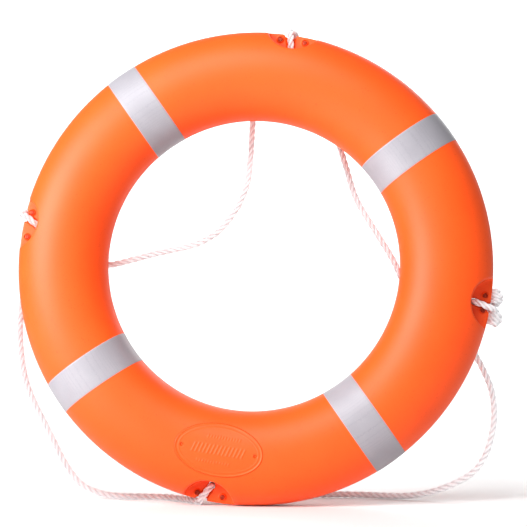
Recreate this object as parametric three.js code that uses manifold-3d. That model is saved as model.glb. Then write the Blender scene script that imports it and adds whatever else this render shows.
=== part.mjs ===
// Ring lifebuoy: two moulded half shells round a foam core, four reflective bands, four rim
// fixings and one continuous grab line that hangs in four loops. Millimetres, +Z up.
// The ring stands on its rim. Its axis is Y, its front faces -Y, and the origin is the
// lowest point of the rim in the middle plane, where the ring sits in its rack.
import * as THREE from "three";
import { mergeVertices } from "three/addons/utils/BufferGeometryUtils.js";
import Module from "manifold-3d";

const wasm = await Module();
wasm.setup();

// ---- driving dimensions -------------------------------------------------------------
const OUTER_DIAMETER = 720;
const INNER_DIAMETER = 444;
const DEPTH = 105; // along the ring's axis
const WALL = 3; // shell thickness
const GAP = 0.3; // left between pieces that touch
const RING_TURN = -10.3; // degrees that the whole ring is turned about its axis

const OUTER_RADIUS = OUTER_DIAMETER / 2;
const SECTION_HALF_WIDTH = (OUTER_DIAMETER - INNER_DIAMETER) / 4;
const SECTION_HALF_DEPTH = DEPTH / 2;
const SECTION_RADIUS = OUTER_RADIUS - SECTION_HALF_WIDTH; // ring axis to the tube's centre

const RING_STEPS = 48;
const SECTION_STEPS = 10; // over half of the tube's section
const CAVITY_STEPS = 6;
const RECESS_SIDES = 28;
const HOLE_SIDES = 14;
const BORE_SIDES = 10;

const BAND_WIDTH = 50;
const BAND_THICKNESS = 0.6;
const BAND_STEPS = 16;
const BAND_SINK = 0.3; // below the shell at the edges of its channel

const RECESS_RADIUS = 39; // the half-moon recesses in the rim
const RECESS_CENTRE = 367; // from the ring's axis
const WEB_HALF = 6; // what is left between the front and the back recess, halved
const ROPE_HOLE_RADIUS = 6.3;
const ROPE_HOLE_AT = 336;
const GROOVE_FLOOR = 1.9; // from the middle plane
const NOTCH_BOTTOM = 356.3; // where the groove cuts through the rim

const SCREW_AT = 350;
const SCREW_HEAD_RADIUS = 3.5;
const SCREW_HEAD_HEIGHT = 2.4;
const SCREW_SHANK_RADIUS = 1.6;
const SCREW_TIP = 4.5; // how far the shank reaches past the middle plane
const SCREW_SEAT = 5; // from the middle plane
const BOSS_RADIUS = 5;
const BOSS_HEIGHT = 2.2;
const HEAD_CLEARANCE = 0.4;

const PLATE_ANGLE = 271; // just past the bottom fixing
const PLATE_AT = 280.5; // centre of the name plate from the ring's axis
const PLATE_LENGTH = 130;
const PLATE_WIDTH = 76;
const PLATE_THICKNESS = 1.1;
const PLATE_SINK = 0.4;
const PLATE_PIN_SPACING = 108;
const PLATE_PIN_RADIUS = 2.2;

const PLUG_RADIUS = 10;
const PLUG_STEM_RADIUS = 6;
const PLUG_THICKNESS = 1.6;

const ROPE_DIAMETER = 10;
const ROPE_RADIUS = ROPE_DIAMETER / 2;
const ROPE_SIDES = 8;
const LOOP_STEP = 22; // along the loops
const TURN_STEP = 7; // round the rim
const KNOT_RADIUS = 13.5;
const KNOT_HALF_LENGTH = 15;
const KNOT_AT = { radius: 369, depth: 22, along: -1.5, tilt: 0.1 };

// The four fixings. Angles run anticlockwise from +X as seen from the front. lean is how far
// the rope drifts clockwise on its way to the rim, proud is the rope's centre over the rim.
const FIXINGS = [
  { name: "right", angle: 0, screws: 22, mouth: 6.2, lean: 6, proud: 366 },
  { name: "top", angle: 90, screws: 38, mouth: 8.5, lean: -5, proud: 366.5 },
  { name: "left", angle: 180, screws: 38, mouth: 8.5, lean: 14, proud: 366 },
  { name: "bottom", angle: 270, screws: 38, mouth: 8.5, lean: 13, proud: 363.2 },
];
const BANDS = [
  { name: "upper_right", angle: 45 },
  { name: "upper_left", angle: 135 },
  { name: "lower_left", angle: 225 },
  { name: "lower_right", angle: 315 },
];

// ---- materials ------------------------------------------------------------------------
const orange = new THREE.MeshStandardMaterial({ color: 0xf4581a, roughness: 0.45 });
const silver = new THREE.MeshStandardMaterial({ color: 0xd6d2da, roughness: 0.55 });
const foam = new THREE.MeshStandardMaterial({ color: 0xe8dcae, roughness: 0.9 });
const steel = new THREE.MeshStandardMaterial({ color: 0x9a9a9c, roughness: 0.4, metalness: 1 });
const rope = new THREE.MeshStandardMaterial({ color: 0xf3eeee, roughness: 0.8 });

// ---- solids ---------------------------------------------------------------------------
function toSolid(geometry) {
  const bare = (geometry.index ? geometry.toNonIndexed() : geometry).clone();
  bare.deleteAttribute("normal");
  bare.deleteAttribute("uv");
  const merged = mergeVertices(bare, 1e-3);
  return new wasm.Manifold(
    new wasm.Mesh({
      numProp: 3,
      vertProperties: new Float32Array(merged.attributes.position.array),
      triVerts: new Uint32Array(merged.index.array),
    }),
  );
}

function toGeometry(solid) {
  const mesh = solid.getMesh();
  const geometry = new THREE.BufferGeometry();
  geometry.setAttribute("position", new THREE.BufferAttribute(mesh.vertProperties, 3));
  geometry.setIndex(new THREE.BufferAttribute(mesh.triVerts, 1));
  geometry.computeVertexNormals();
  return geometry;
}

const joined = (solids) => solids.reduce((all, one) => all.add(one));

// Turns a geometry made at angle 0, with +X radial and +Z anticlockwise, to its place.
function atAngle(geometry, degrees) {
  return geometry.rotateY(-THREE.MathUtils.degToRad(degrees + RING_TURN));
}

// A closed ring solid whose section is half of the tube's ellipse, shrunk by inset.
// side is -1 for the front half and 1 for the back half. Its flat face lies at the depth from
// on that side of the middle plane, or past the plane if from is negative.
function halfRing(side, inset, from, steps = SECTION_STEPS) {
  const width = SECTION_HALF_WIDTH - inset;
  const depth = SECTION_HALF_DEPTH - inset;
  const profile = [];
  for (let i = 0; i <= steps; i++) {
    const a = (Math.PI * i) / steps;
    profile.push([SECTION_RADIUS + width * Math.cos(a), Math.max(depth * Math.sin(a), from)]);
  }
  if (from < 0) {
    profile.unshift([profile[0][0], from]);
    profile.push([profile.at(-1)[0], from]);
  }
  profile.push(profile[0]);
  if (side < 0) profile.reverse();
  const points = profile.map(([r, y]) => new THREE.Vector2(r, side * y));
  return toSolid(new THREE.LatheGeometry(points, RING_STEPS));
}

// The whole tube as one ring solid, shrunk by inset.
function wholeRing(inset, steps) {
  const width = SECTION_HALF_WIDTH - inset;
  const depth = SECTION_HALF_DEPTH - inset;
  const points = [];
  for (let i = 0; i <= 2 * steps; i++) {
    const a = (Math.PI * (i % (2 * steps))) / steps;
    points.push(new THREE.Vector2(SECTION_RADIUS + width * Math.cos(a), depth * Math.sin(a)));
  }
  return toSolid(new THREE.LatheGeometry(points, RING_STEPS));
}

// An upright cylinder along the ring's axis, at a radius from it and an offset along the rim.
function axialCylinder(radius, from, to, at, along, degrees, sides = 32) {
  const cylinder = new THREE.CylinderGeometry(radius, radius, to - from, sides);
  cylinder.translate(at, (from + to) / 2, along);
  return toSolid(atAngle(cylinder, degrees));
}

// An outline in the plane of the ring, given as [radial, anticlockwise], extruded in depth.
function axialPrism(outline, from, to, degrees) {
  const shape = new THREE.Shape(outline.map(([r, t]) => new THREE.Vector2(r, -t)));
  const prism = new THREE.ExtrudeGeometry(shape, { depth: to - from, bevelEnabled: false });
  prism.rotateX(-Math.PI / 2).translate(0, from, 0);
  return toSolid(atAngle(prism, degrees));
}

function ellipseShape(width, depth, steps) {
  const shape = new THREE.Shape();
  shape.absellipse(0, 0, width, depth, 0, 2 * Math.PI);
  return new THREE.Shape(shape.getPoints(steps).slice(0, -1));
}

// ---- bands ------------------------------------------------------------------------------
// A band is a straight sleeve round the tube: its outside lies just under the shell at the
// edges of the channel, both at the rim and in the opening.
const EDGE_OUTSIDE = Math.sqrt(OUTER_RADIUS ** 2 - (BAND_WIDTH / 2) ** 2) - BAND_SINK;
const EDGE_INSIDE = Math.sqrt((INNER_DIAMETER / 2) ** 2 - (BAND_WIDTH / 2) ** 2) + BAND_SINK;
const BAND_AT = (EDGE_OUTSIDE + EDGE_INSIDE) / 2;
const BAND_HALF_WIDTH = (EDGE_OUTSIDE - EDGE_INSIDE) / 2;
const BAND_HALF_DEPTH = SECTION_HALF_DEPTH - BAND_SINK;

// The ellipse, shrunk by inset, extruded along the rim over a length.
function sleeve(inset, length, hole) {
  const width = BAND_HALF_WIDTH - inset;
  const depth = BAND_HALF_DEPTH - inset;
  const shape = ellipseShape(width, depth, BAND_STEPS);
  if (hole) shape.holes.push(ellipseShape(width - hole, depth - hole, BAND_STEPS));
  const tube = new THREE.ExtrudeGeometry(shape, { depth: length, bevelEnabled: false });
  return tube.translate(BAND_AT, 0, -length / 2);
}

function bandChannel(angle) {
  const width = BAND_WIDTH + 2 * GAP;
  const slab = new THREE.BoxGeometry(3 * SECTION_HALF_WIDTH, 2 * DEPTH, width);
  const seat = sleeve(BAND_THICKNESS + GAP, width + 20, 0);
  const around = toSolid(atAngle(slab.translate(SECTION_RADIUS, 0, 0), angle));
  return around.subtract(toSolid(atAngle(seat, angle)));
}

// ---- rim fixings --------------------------------------------------------------------------
function recess(side, fixing, extra = 0) {
  const near = extra ? 0 : WEB_HALF;
  const far = DEPTH;
  const [from, to] = side < 0 ? [-far, -near] : [near, far];
  return axialCylinder(RECESS_RADIUS + extra, from, to, RECESS_CENTRE, 0, fixing.angle, RECESS_SIDES);
}

// The groove's outline from the rope hole to beyond the rim, leaning with the rope.
function grooveOutline({ mouth, lean }, start) {
  const end = RECESS_CENTRE + 6;
  const along = (r) => (-lean * (r - ROPE_HOLE_AT)) / (OUTER_RADIUS - ROPE_HOLE_AT);
  const spread = (r) =>
    ROPE_HOLE_RADIUS - 0.4 +
    ((mouth - ROPE_HOLE_RADIUS) * (r - ROPE_HOLE_AT)) / (OUTER_RADIUS - ROPE_HOLE_AT);
  return [
    [start, along(start) - spread(start)],
    [end, along(end) - spread(end)],
    [end, along(end) + spread(end)],
    [start, along(start) + spread(start)],
  ];
}

// What is cut out of both shells at a fixing: the rope hole and the notch in the rim.
function ropeWay(fixing) {
  const hole = axialCylinder(
    ROPE_HOLE_RADIUS, -DEPTH, DEPTH, ROPE_HOLE_AT, 0, fixing.angle, HOLE_SIDES,
  );
  const notch = axialPrism(grooveOutline(fixing, NOTCH_BOTTOM), -DEPTH, DEPTH, fixing.angle);
  return hole.add(notch);
}

function groove(fixing) {
  return axialPrism(grooveOutline(fixing, ROPE_HOLE_AT), -DEPTH, -GROOVE_FLOOR, fixing.angle);
}

function screwPlaces(fixing) {
  return [fixing.screws / 2, -fixing.screws / 2];
}

function bosses(fixing, side) {
  const top = side * (WEB_HALF + BOSS_HEIGHT);
  const foot = side * (WEB_HALF - 1);
  const [from, to] = side < 0 ? [top, foot] : [foot, top];
  return joined(
    screwPlaces(fixing).map((along) =>
      axialCylinder(BOSS_RADIUS, from, to, SCREW_AT, along, fixing.angle, HOLE_SIDES),
    ),
  );
}

function screwBores(fixing) {
  const angle = fixing.angle;
  return joined(
    screwPlaces(fixing).flatMap((along) => [
      axialCylinder(
        SCREW_HEAD_RADIUS + HEAD_CLEARANCE, -DEPTH, -SCREW_SEAT, SCREW_AT, along, angle,
        HOLE_SIDES,
      ),
      axialCylinder(
        SCREW_SHANK_RADIUS + GAP, -DEPTH, SCREW_TIP + GAP, SCREW_AT, along, angle, BORE_SIDES,
      ),
    ]),
  );
}

function screw(fixing, along) {
  const head = SCREW_SEAT + GAP;
  const top = head + SCREW_HEAD_HEIGHT;
  const profile = [
    [0, -top],
    [SCREW_HEAD_RADIUS * 0.55, -top],
    [SCREW_HEAD_RADIUS, -head - SCREW_HEAD_HEIGHT * 0.45],
    [SCREW_HEAD_RADIUS, -head],
    [SCREW_SHANK_RADIUS, -head],
    [SCREW_SHANK_RADIUS, SCREW_TIP - 1.5],
    [0, SCREW_TIP],
  ].map(([r, y]) => new THREE.Vector2(r, y));
  const turned = new THREE.LatheGeometry(profile, BORE_SIDES).translate(SCREW_AT, 0, along);
  return toGeometry(toSolid(atAngle(turned, fixing.angle)));
}

// ---- name plate and plugs ---------------------------------------------------------------
function plateOutline(shrink) {
  const shape = ellipseShape(PLATE_WIDTH / 2 - shrink, PLATE_LENGTH / 2 - shrink, 20);
  return shape.getPoints().map((p) => [PLATE_AT + p.x, p.y]);
}

// The layer of the front half between two depths below its skin, inside the plate's outline.
function plateLayer(shrink, upper, lower) {
  const prism = axialPrism(plateOutline(shrink), -DEPTH, -WEB_HALF, PLATE_ANGLE);
  return halfRing(-1, upper, 0).subtract(halfRing(-1, lower, 0)).intersect(prism);
}

const plateSides = [PLATE_PIN_SPACING / 2, -PLATE_PIN_SPACING / 2];
const pinDepth = -SECTION_HALF_DEPTH + 0.9;

function platePin(along, radius, length) {
  return axialCylinder(radius, pinDepth, pinDepth + length, PLATE_AT, along, PLATE_ANGLE, 12);
}

// A plug has a round head let into the back shell and a stem through its wall.
function plugCut(degrees) {
  const back = SECTION_HALF_DEPTH;
  const head = axialCylinder(
    PLUG_RADIUS + GAP, back - PLUG_THICKNESS - GAP, back + 5, SECTION_RADIUS, 0, degrees, 20,
  );
  const stem = axialCylinder(
    PLUG_STEM_RADIUS + GAP, back - 2 * WALL, back, SECTION_RADIUS, 0, degrees, HOLE_SIDES,
  );
  return head.add(stem);
}

function plug(degrees) {
  const back = SECTION_HALF_DEPTH - GAP;
  const seat = back - PLUG_THICKNESS;
  const foot = SECTION_HALF_DEPTH - WALL;
  const profile = [
    [0, foot],
    [PLUG_STEM_RADIUS, foot],
    [PLUG_STEM_RADIUS, seat],
    [PLUG_RADIUS, seat],
    [PLUG_RADIUS, back - 0.4],
    [PLUG_RADIUS - 1, back],
    [0, back],
  ].map(([r, y]) => new THREE.Vector2(r, y));
  const turned = new THREE.LatheGeometry(profile, 20).translate(SECTION_RADIUS, 0, 0);
  return toGeometry(toSolid(atAngle(turned, degrees)));
}

// ---- shells and core ----------------------------------------------------------------------
const channels = joined(BANDS.map(({ angle }) => bandChannel(angle)));
const cups = (side) => joined(FIXINGS.map((fixing) => recess(side, fixing, WALL)));

function shell(side) {
  const cavity = halfRing(side, WALL, -1, CAVITY_STEPS).subtract(cups(side));
  const raised = joined(FIXINGS.map((fixing) => bosses(fixing, side)));
  const cuts = joined(FIXINGS.flatMap((fixing) => [ropeWay(fixing), screwBores(fixing)]));
  let body = halfRing(side, 0, GAP / 2).subtract(cavity);
  body = body.subtract(joined(FIXINGS.map((fixing) => recess(side, fixing))));
  body = body.add(raised).subtract(channels);
  if (side < 0) {
    body = body.subtract(joined(FIXINGS.map(groove)));
    body = body.subtract(plateLayer(0, -1, PLATE_SINK + PLATE_THICKNESS + GAP));
    body = body.subtract(joined(plateSides.map((t) => platePin(t, PLATE_PIN_RADIUS + GAP, WALL))));
  } else {
    body = body.subtract(plugCut(90)).subtract(plugCut(270));
  }
  return body.subtract(cuts);
}

function namePlate() {
  const layer = plateLayer(GAP, PLATE_SINK, PLATE_SINK + PLATE_THICKNESS);
  return layer.subtract(joined(plateSides.map((t) => platePin(t, PLATE_PIN_RADIUS + GAP, WALL))));
}

function foamCore() {
  const around = joined(
    FIXINGS.map(({ angle }) =>
      axialCylinder(
        RECESS_RADIUS + WALL + GAP, -DEPTH, DEPTH, RECESS_CENTRE, 0, angle, RECESS_SIDES,
      ),
    ),
  );
  return wholeRing(WALL + GAP, CAVITY_STEPS).subtract(around);
}

// ---- grab line ------------------------------------------------------------------------------
// One rope runs clockwise, seen from the front, from the knot at the right fixing round all
// four fixings and back to the knot. A loop hangs behind the ring between two fixings; a turn
// comes from the back through the rope hole, along the groove and over the rim to the back.
const ropeCentre = (radial, depth, along, degrees) => {
  const a = THREE.MathUtils.degToRad(degrees + RING_TURN);
  const x = radial * Math.cos(a) - along * Math.sin(a);
  const z = radial * Math.sin(a) + along * Math.cos(a);
  return [x, depth, z + OUTER_RADIUS];
};

// From the back recess through the hole, over the front of the web and over the rim.
function turnRoute({ angle, lean, proud }) {
  const hole = ROPE_HOLE_AT;
  return [
    [hole, 30, 0],
    [hole, 14, 0],
    [hole, 1, 0],
    [hole + 2.3, -6, -0.1 * lean],
    [hole + 8, -8.6, -0.33 * lean],
    [hole + 15, -8.9, -0.63 * lean],
    [proud - 8, -8.2, -0.87 * lean],
    [proud - 1.8, -4, -lean],
    [proud, 3, -1.03 * lean],
  ].map(([r, y, t]) => ropeCentre(r, y, t, angle));
}

const LOOPS = {
  lower_right: [
    [337, 58, 232], [339, 62, 222], [345, 63, 211], [351, 63, 198], [357, 63, 184],
    [362, 63, 168], [364.5, 63, 152], [365, 63, 136], [364, 63, 119], [360, 64, 99],
    [354, 65, 79], [346, 66, 63], [335, 68, 48], [321, 70, 37], [305, 73, 28],
    [285, 79, 19], [262, 87, 11.5], [238, 94, 7], [212, 101, 5.6], [190, 108, 5.6],
    [168, 113, 5.8], [144, 115, 6], [118, 113, 6], [90, 107, 5.8], [61, 98, 5.8],
    [33, 87, 7.5], [8, 76, 12], [-14, 67, 18], [-32, 61, 23.5], [-44, 57, 26.5],
  ],
  lower_left: [
    [-134, 55, 5.5], [-150, 60.5, 5.5], [-172, 63, 5.5], [-197, 63, 5.6], [-223, 62.5, 7],
    [-248, 62, 12.5], [-274, 62, 26], [-298, 62, 56], [-318, 62, 92], [-337, 62, 127],
    [-356, 62, 164], [-368, 62, 201], [-374, 62, 242], [-375, 62, 280], [-373, 62, 314],
    [-366, 62.5, 346], [-355, 63, 374], [-344, 62, 394], [-337, 58, 407],
  ],
  upper_left: [
    [-340, 57, 441], [-335, 62, 427], [-325, 63.5, 407], [-309, 63.5, 388], [-287, 63, 375],
    [-260, 62.5, 368], [-232, 62, 367], [-184, 62, 378], [-158, 62, 384.5], [-131, 62, 390],
    [-108, 62, 395], [-86, 62, 402], [-61, 62, 417], [-40, 62, 440], [-25, 62, 464],
    [-13.5, 62, 493], [-8.5, 62, 527], [-6, 62, 561], [-4, 62, 594], [2, 62.5, 623],
    [13, 63, 648], [29, 62.5, 668], [45, 59, 680],
  ],
  upper_right: [
    [74, 57, 700], [80, 62, 687], [90, 63.5, 667], [101, 63.5, 641], [112, 63, 614],
    [122, 62.5, 588], [131, 62, 562], [139, 62, 536], [146, 62, 511], [152, 62, 489],
    [159, 62, 469], [167, 62, 453], [177, 62, 436], [195, 62, 406], [212, 62, 377],
    [223, 62, 354], [233, 62, 329], [242, 62.5, 303], [253, 63, 277], [267, 63.5, 254],
    [286, 63.5, 242], [305, 63.5, 246], [318, 62.5, 262], [324, 58.5, 278],
  ],
};

// Stretches between a turn and the loops on either side of it, behind the ring.
const INTO_HOLE = {
  bottom: [[-53, 50, 28.2], [-58.5, 41, 29.2]],
  left: [[-332.5, 50, 415], [-330.9, 41, 419]],
  top: [[54.5, 51, 686.5], [59, 42, 690]],
  right: [[328.5, 50, 290], [330.3, 41, 297.5]],
};
const OUT_OF_RIM = {
  bottom: [[-90, 14, 5.4], [-101, 29, 5.4], [-116, 43, 5.4]],
  left: [[-355, 14, 445], [-351, 29, 448], [-346, 44, 447.5]],
  top: [[66, 14, 722], [68, 29, 718], [70.5, 44, 711]],
  right: [ropeCentre(367, 8.8, -6.5, 0)],
};

// From the back of the lower knot to the first loop: radius, depth and offset along the rim.
const KNOT_LEAD = [[360, 38, -24], [357, 45, -35], [355, 50.5, -46], [354.5, 55, -56]];

// The middle of a knot, along is its offset from where the two meet.
function knotCentre(along) {
  const { radius, depth, tilt } = KNOT_AT;
  return ropeCentre(radius - tilt * along, depth, KNOT_AT.along + along, 0);
}

const turnOf = (name) => turnRoute(FIXINGS.find((fixing) => fixing.name === name));

// The whole rope as named stretches, each list starting where the last one ends.
const STRETCHES = [
  ["rope_knot_lead", KNOT_LEAD.map((place) => ropeCentre(...place, 0))],
  ["grab_line_lower_right", LOOPS.lower_right],
  ["rope_turn_bottom", [...INTO_HOLE.bottom, ...turnOf("bottom"), ...OUT_OF_RIM.bottom]],
  ["grab_line_lower_left", LOOPS.lower_left],
  ["rope_turn_left", [...INTO_HOLE.left, ...turnOf("left"), ...OUT_OF_RIM.left]],
  ["grab_line_upper_left", LOOPS.upper_left],
  ["rope_turn_top", [...INTO_HOLE.top, ...turnOf("top"), ...OUT_OF_RIM.top]],
  ["grab_line_upper_right", LOOPS.upper_right],
  ["rope_turn_right", [...INTO_HOLE.right, ...turnOf("right"), ...OUT_OF_RIM.right]],
];

const route = STRETCHES.flatMap(([, points]) => points);
const line = new THREE.CatmullRomCurve3(
  route.map((p) => new THREE.Vector3(...p)), false, "centripetal",
);

// A stretch of the line between two of its points, counted with fractions.
class Stretch extends THREE.Curve {
  constructor(first, last) {
    super();
    this.first = first / (route.length - 1);
    this.last = last / (route.length - 1);
  }

  getPoint(t, target) {
    return line.getPoint(THREE.MathUtils.lerp(this.first, this.last, t), target);
  }
}

const ropeSection = new THREE.Shape(
  Array.from({ length: ROPE_SIDES }, (_, i) => {
    const a = (2 * Math.PI * i) / ROPE_SIDES;
    return new THREE.Vector2(Math.cos(a), Math.sin(a)).multiplyScalar(ROPE_RADIUS);
  }),
);

// The rope's tube between two points of the route, counted with fractions.
function ropeTube(first, last, step) {
  const extrudePath = new Stretch(first, last);
  const steps = Math.round(extrudePath.getLength() / step);
  return new THREE.ExtrudeGeometry(ropeSection, { steps, extrudePath });
}

// A loop is a tube with a ball round each of the two points that it swings about.
function loop(first, last) {
  const balls = [route[first], route[last]].map((at) =>
    toSolid(new THREE.SphereGeometry(ROPE_RADIUS, ROPE_SIDES, 6).translate(...at)),
  );
  return toGeometry(joined([toSolid(ropeTube(first, last, LOOP_STEP)), ...balls]));
}

// The share of the step from one point of the route to the next that a loop's ball takes up.
function ballShare(index) {
  const [here, next] = [index, index + 1].map((i) => new THREE.Vector3(...route[i]));
  return (ROPE_RADIUS + GAP) / here.distanceTo(next);
}

// ---- assembly -------------------------------------------------------------------------------
const group = new THREE.Group();
const ring = new THREE.Group();
ring.position.z = OUTER_RADIUS;
group.add(ring);

function place(parent, name, geometry, material) {
  const mesh = new THREE.Mesh(geometry, material);
  mesh.name = name;
  parent.add(mesh);
  return mesh;
}

place(ring, "front_shell", toGeometry(shell(-1)), orange);
place(ring, "back_shell", toGeometry(shell(1)), orange);
place(ring, "foam_core", toGeometry(foamCore()), foam);
place(ring, "name_plate", toGeometry(namePlate()), orange);
plateSides.forEach((along, i) => {
  const pin = platePin(along, PLATE_PIN_RADIUS, WALL - 1.2);
  place(ring, `name_plate_pin_${i + 1}`, toGeometry(pin), orange);
});
place(ring, "foam_fill_plug", plug(90), orange);
place(ring, "air_vent_plug", plug(270), orange);

for (const { name, angle } of BANDS) {
  const band = toSolid(atAngle(sleeve(0, BAND_WIDTH, BAND_THICKNESS), angle));
  place(ring, `reflective_band_${name}`, toGeometry(band), silver);
}

for (const fixing of FIXINGS)
  screwPlaces(fixing).forEach((along, i) => {
    place(ring, `recess_screw_${fixing.name}_${i + 1}`, screw(fixing, along), steel);
  });

// A loop runs from its first to its last point. A turn reaches on to the balls beside it.
let first = 0;
for (const [name, points] of STRETCHES) {
  const last = first + points.length - 1;
  if (name.startsWith("grab_line")) {
    place(group, name, loop(first, last), rope);
  } else {
    const from = first > 0 ? first - 1 + ballShare(first - 1) : first;
    const to = last < route.length - 1 ? last + 1 - ballShare(last) : last;
    place(group, name, ropeTube(from, to, TURN_STEP), rope);
  }
  first = last + 1;
}

for (const [name, along] of [["upper", KNOT_HALF_LENGTH], ["lower", -KNOT_HALF_LENGTH]]) {
  const lump = new THREE.SphereGeometry(1, 12, 8);
  const knot = place(group, `rope_knot_${name}`, lump, rope);
  knot.scale.set(KNOT_RADIUS, KNOT_RADIUS, KNOT_HALF_LENGTH - GAP / 2);
  knot.rotation.y = -THREE.MathUtils.degToRad(RING_TURN);
  knot.position.set(...knotCentre(along));
}

export default group;
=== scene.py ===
"""Ring lifebuoy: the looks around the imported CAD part.

Metres, +Z up. The ring stands on its rim, its axis is Y and its front faces -Y.
"""

import math

import bpy
import numpy as np
from mathutils import Matrix, Vector


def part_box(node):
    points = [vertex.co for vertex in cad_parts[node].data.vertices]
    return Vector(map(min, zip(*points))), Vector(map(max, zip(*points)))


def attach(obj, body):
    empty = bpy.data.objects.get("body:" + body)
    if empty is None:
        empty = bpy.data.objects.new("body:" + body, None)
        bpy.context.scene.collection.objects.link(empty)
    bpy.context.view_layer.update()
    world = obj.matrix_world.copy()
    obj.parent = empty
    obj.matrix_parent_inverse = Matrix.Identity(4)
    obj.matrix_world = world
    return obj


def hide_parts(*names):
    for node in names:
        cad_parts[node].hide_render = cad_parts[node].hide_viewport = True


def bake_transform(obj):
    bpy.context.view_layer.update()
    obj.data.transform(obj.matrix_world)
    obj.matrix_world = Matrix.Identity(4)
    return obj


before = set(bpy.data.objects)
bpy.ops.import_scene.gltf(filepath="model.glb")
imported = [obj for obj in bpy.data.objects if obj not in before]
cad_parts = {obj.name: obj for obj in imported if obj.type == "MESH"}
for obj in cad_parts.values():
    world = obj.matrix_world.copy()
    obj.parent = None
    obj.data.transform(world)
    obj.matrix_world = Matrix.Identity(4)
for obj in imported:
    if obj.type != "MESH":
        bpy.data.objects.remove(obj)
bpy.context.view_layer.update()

# ---- driving dimensions ---------------------------------------------------------------
shell_low, shell_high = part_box("front_shell")
OUTER_RADIUS = (shell_high.x - shell_low.x) / 2
HALF_DEPTH = -shell_low.y
INNER_RADIUS = 0.222
CENTRE_HEIGHT = (shell_low.z + shell_high.z) / 2
SECTION_RADIUS = (OUTER_RADIUS + INNER_RADIUS) / 2
SECTION_HALF_WIDTH = (OUTER_RADIUS - INNER_RADIUS) / 2
RING_TURN = math.radians(-10.3)
PARTING_GAP = 0.00015  # from the middle plane to each half shell

RECESS_RADIUS = 0.039
RECESS_CENTRE = 0.367
RECESS_DRAFT = 0.03
WEB_HALF = 0.006
ROPE_HOLE_RADIUS = 0.0055
ROPE_HOLE_AT = 0.336
GROOVE_FLOOR = 0.0034
NOTCH_BOTTOM = 0.3563
SCREW_AT = 0.35
SCREW_SEAT = 0.005
SCREW_HEAD_RADIUS = 0.0035
BOSS_RADIUS = 0.005
BOSS_HEIGHT = 0.0022

BAND_WIDTH = 0.05
BAND_PROUD = 0.0003
PLATE_ANGLE = 271
PLATE_AT = 0.2805
PLATE_HALF_LENGTH = 0.065
PLATE_HALF_WIDTH = 0.038
PLATE_PIN_AT = 0.054
ROPE_DIAMETER = 0.01

# Angles run anticlockwise from +X as seen from the front.
FIXINGS = {
    "right": {"angle": 0, "screws": 0.022, "mouth": 0.0062, "lean": 0.006, "proud": 0.366},
    "top": {"angle": 90, "screws": 0.038, "mouth": 0.0085, "lean": -0.005, "proud": 0.3665},
    "left": {"angle": 180, "screws": 0.038, "mouth": 0.0085, "lean": 0.014, "proud": 0.366},
    "bottom": {"angle": 270, "screws": 0.038, "mouth": 0.0085, "lean": 0.013, "proud": 0.3632},
}
BANDS = {"upper_right": 45, "upper_left": 135, "lower_left": 225, "lower_right": 315}


def turned(degrees):
    """The angle in the row frame of a direction given on the ring."""
    return math.radians(degrees) + RING_TURN


def on_ring(radial, along, depth, degrees):
    """A point given beside a direction on the ring: outwards, anticlockwise and in depth."""
    a = turned(degrees)
    x = radial * math.cos(a) - along * math.sin(a)
    z = radial * math.sin(a) + along * math.cos(a)
    return (x, depth, z + CENTRE_HEIGHT)


# ---- camera -----------------------------------------------------------------------------
def make_camera():
    data = bpy.data.cameras.new("camera")
    data.lens = 72.9
    data.sensor_width = 36
    data.shift_x = 0.0209
    camera = bpy.data.objects.new("camera", data)
    bpy.context.scene.collection.objects.link(camera)
    camera.location = (0.122, -1.6033, 0.1714)
    forward = Vector((-0.0753, 0.9903, 0.1165))
    camera.rotation_euler = forward.to_track_quat("-Z", "Y").to_euler()
    bpy.context.scene.camera = camera


make_camera()


# ---- materials ----------------------------------------------------------------------------
class Finish:
    """A material whose nodes are added one call at a time."""

    def __init__(self, name):
        self.material = bpy.data.materials.new(name)
        self.material.use_nodes = True
        self.tree = self.material.node_tree
        self.shader = self.tree.nodes["Principled BSDF"]

    def put(self, socket, value):
        if isinstance(value, bpy.types.NodeSocket):
            self.tree.links.new(value, socket)
        else:
            socket.default_value = value

    def add(self, kind, output=0, settings=(), **inputs):
        """A node of a kind. Inputs are named, with _ for a space, or in0, in1 by number."""
        node = self.tree.nodes.new(kind)
        for name, value in dict(settings).items():
            setattr(node, name, value)
        for name, value in inputs.items():
            numbered = name[:2] == "in" and name[2:].isdigit()
            place = int(name[2:]) if numbered else name.replace("_", " ")
            self.put(node.inputs[place], value)
        return node.outputs[output]

    def shade(self, **inputs):
        for name, value in inputs.items():
            self.put(self.shader.inputs[name.replace("_", " ")], value)

    def here(self):
        return self.add("ShaderNodeTexCoord", output="Object")

    def noise(self, scale, detail=4.0, roughness=0.5, vector=None):
        return self.add(
            "ShaderNodeTexNoise", Vector=vector or self.here(), Scale=scale, Detail=detail,
            Roughness=roughness,
        )

    def ramp(self, factor, stops):
        node = self.tree.nodes.new("ShaderNodeValToRGB")
        elements = node.color_ramp.elements
        while len(elements) < len(stops):
            elements.new(0.5)
        for element, (place, colour) in zip(elements, stops):
            element.position = place
            element.color = (*colour, 1)
        self.put(node.inputs[0], factor)
        return node.outputs[0]

    def grey(self, factor, low, high):
        """Maps 0 to 1 onto low to high."""
        return self.add("ShaderNodeMapRange", Value=factor, To_Min=low, To_Max=high)

    def mix(self, factor, a, b):
        node = self.tree.nodes.new("ShaderNodeMix")
        node.data_type = "RGBA"
        for place, value in ((0, factor), (6, a), (7, b)):
            if isinstance(value, tuple):
                value = (*value, 1)
            self.put(node.inputs[place], value)
        return node.outputs[2]

    def maths(self, operation, a, b=0.0):
        return self.add("ShaderNodeMath", settings={"operation": operation}, in0=a, in1=b)

    def bump(self, height, distance, strength, normal=None):
        inputs = {"Height": height, "Distance": distance, "Strength": strength}
        if normal is not None:
            inputs["Normal"] = normal
        return self.add("ShaderNodeBump", **inputs)


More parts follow.
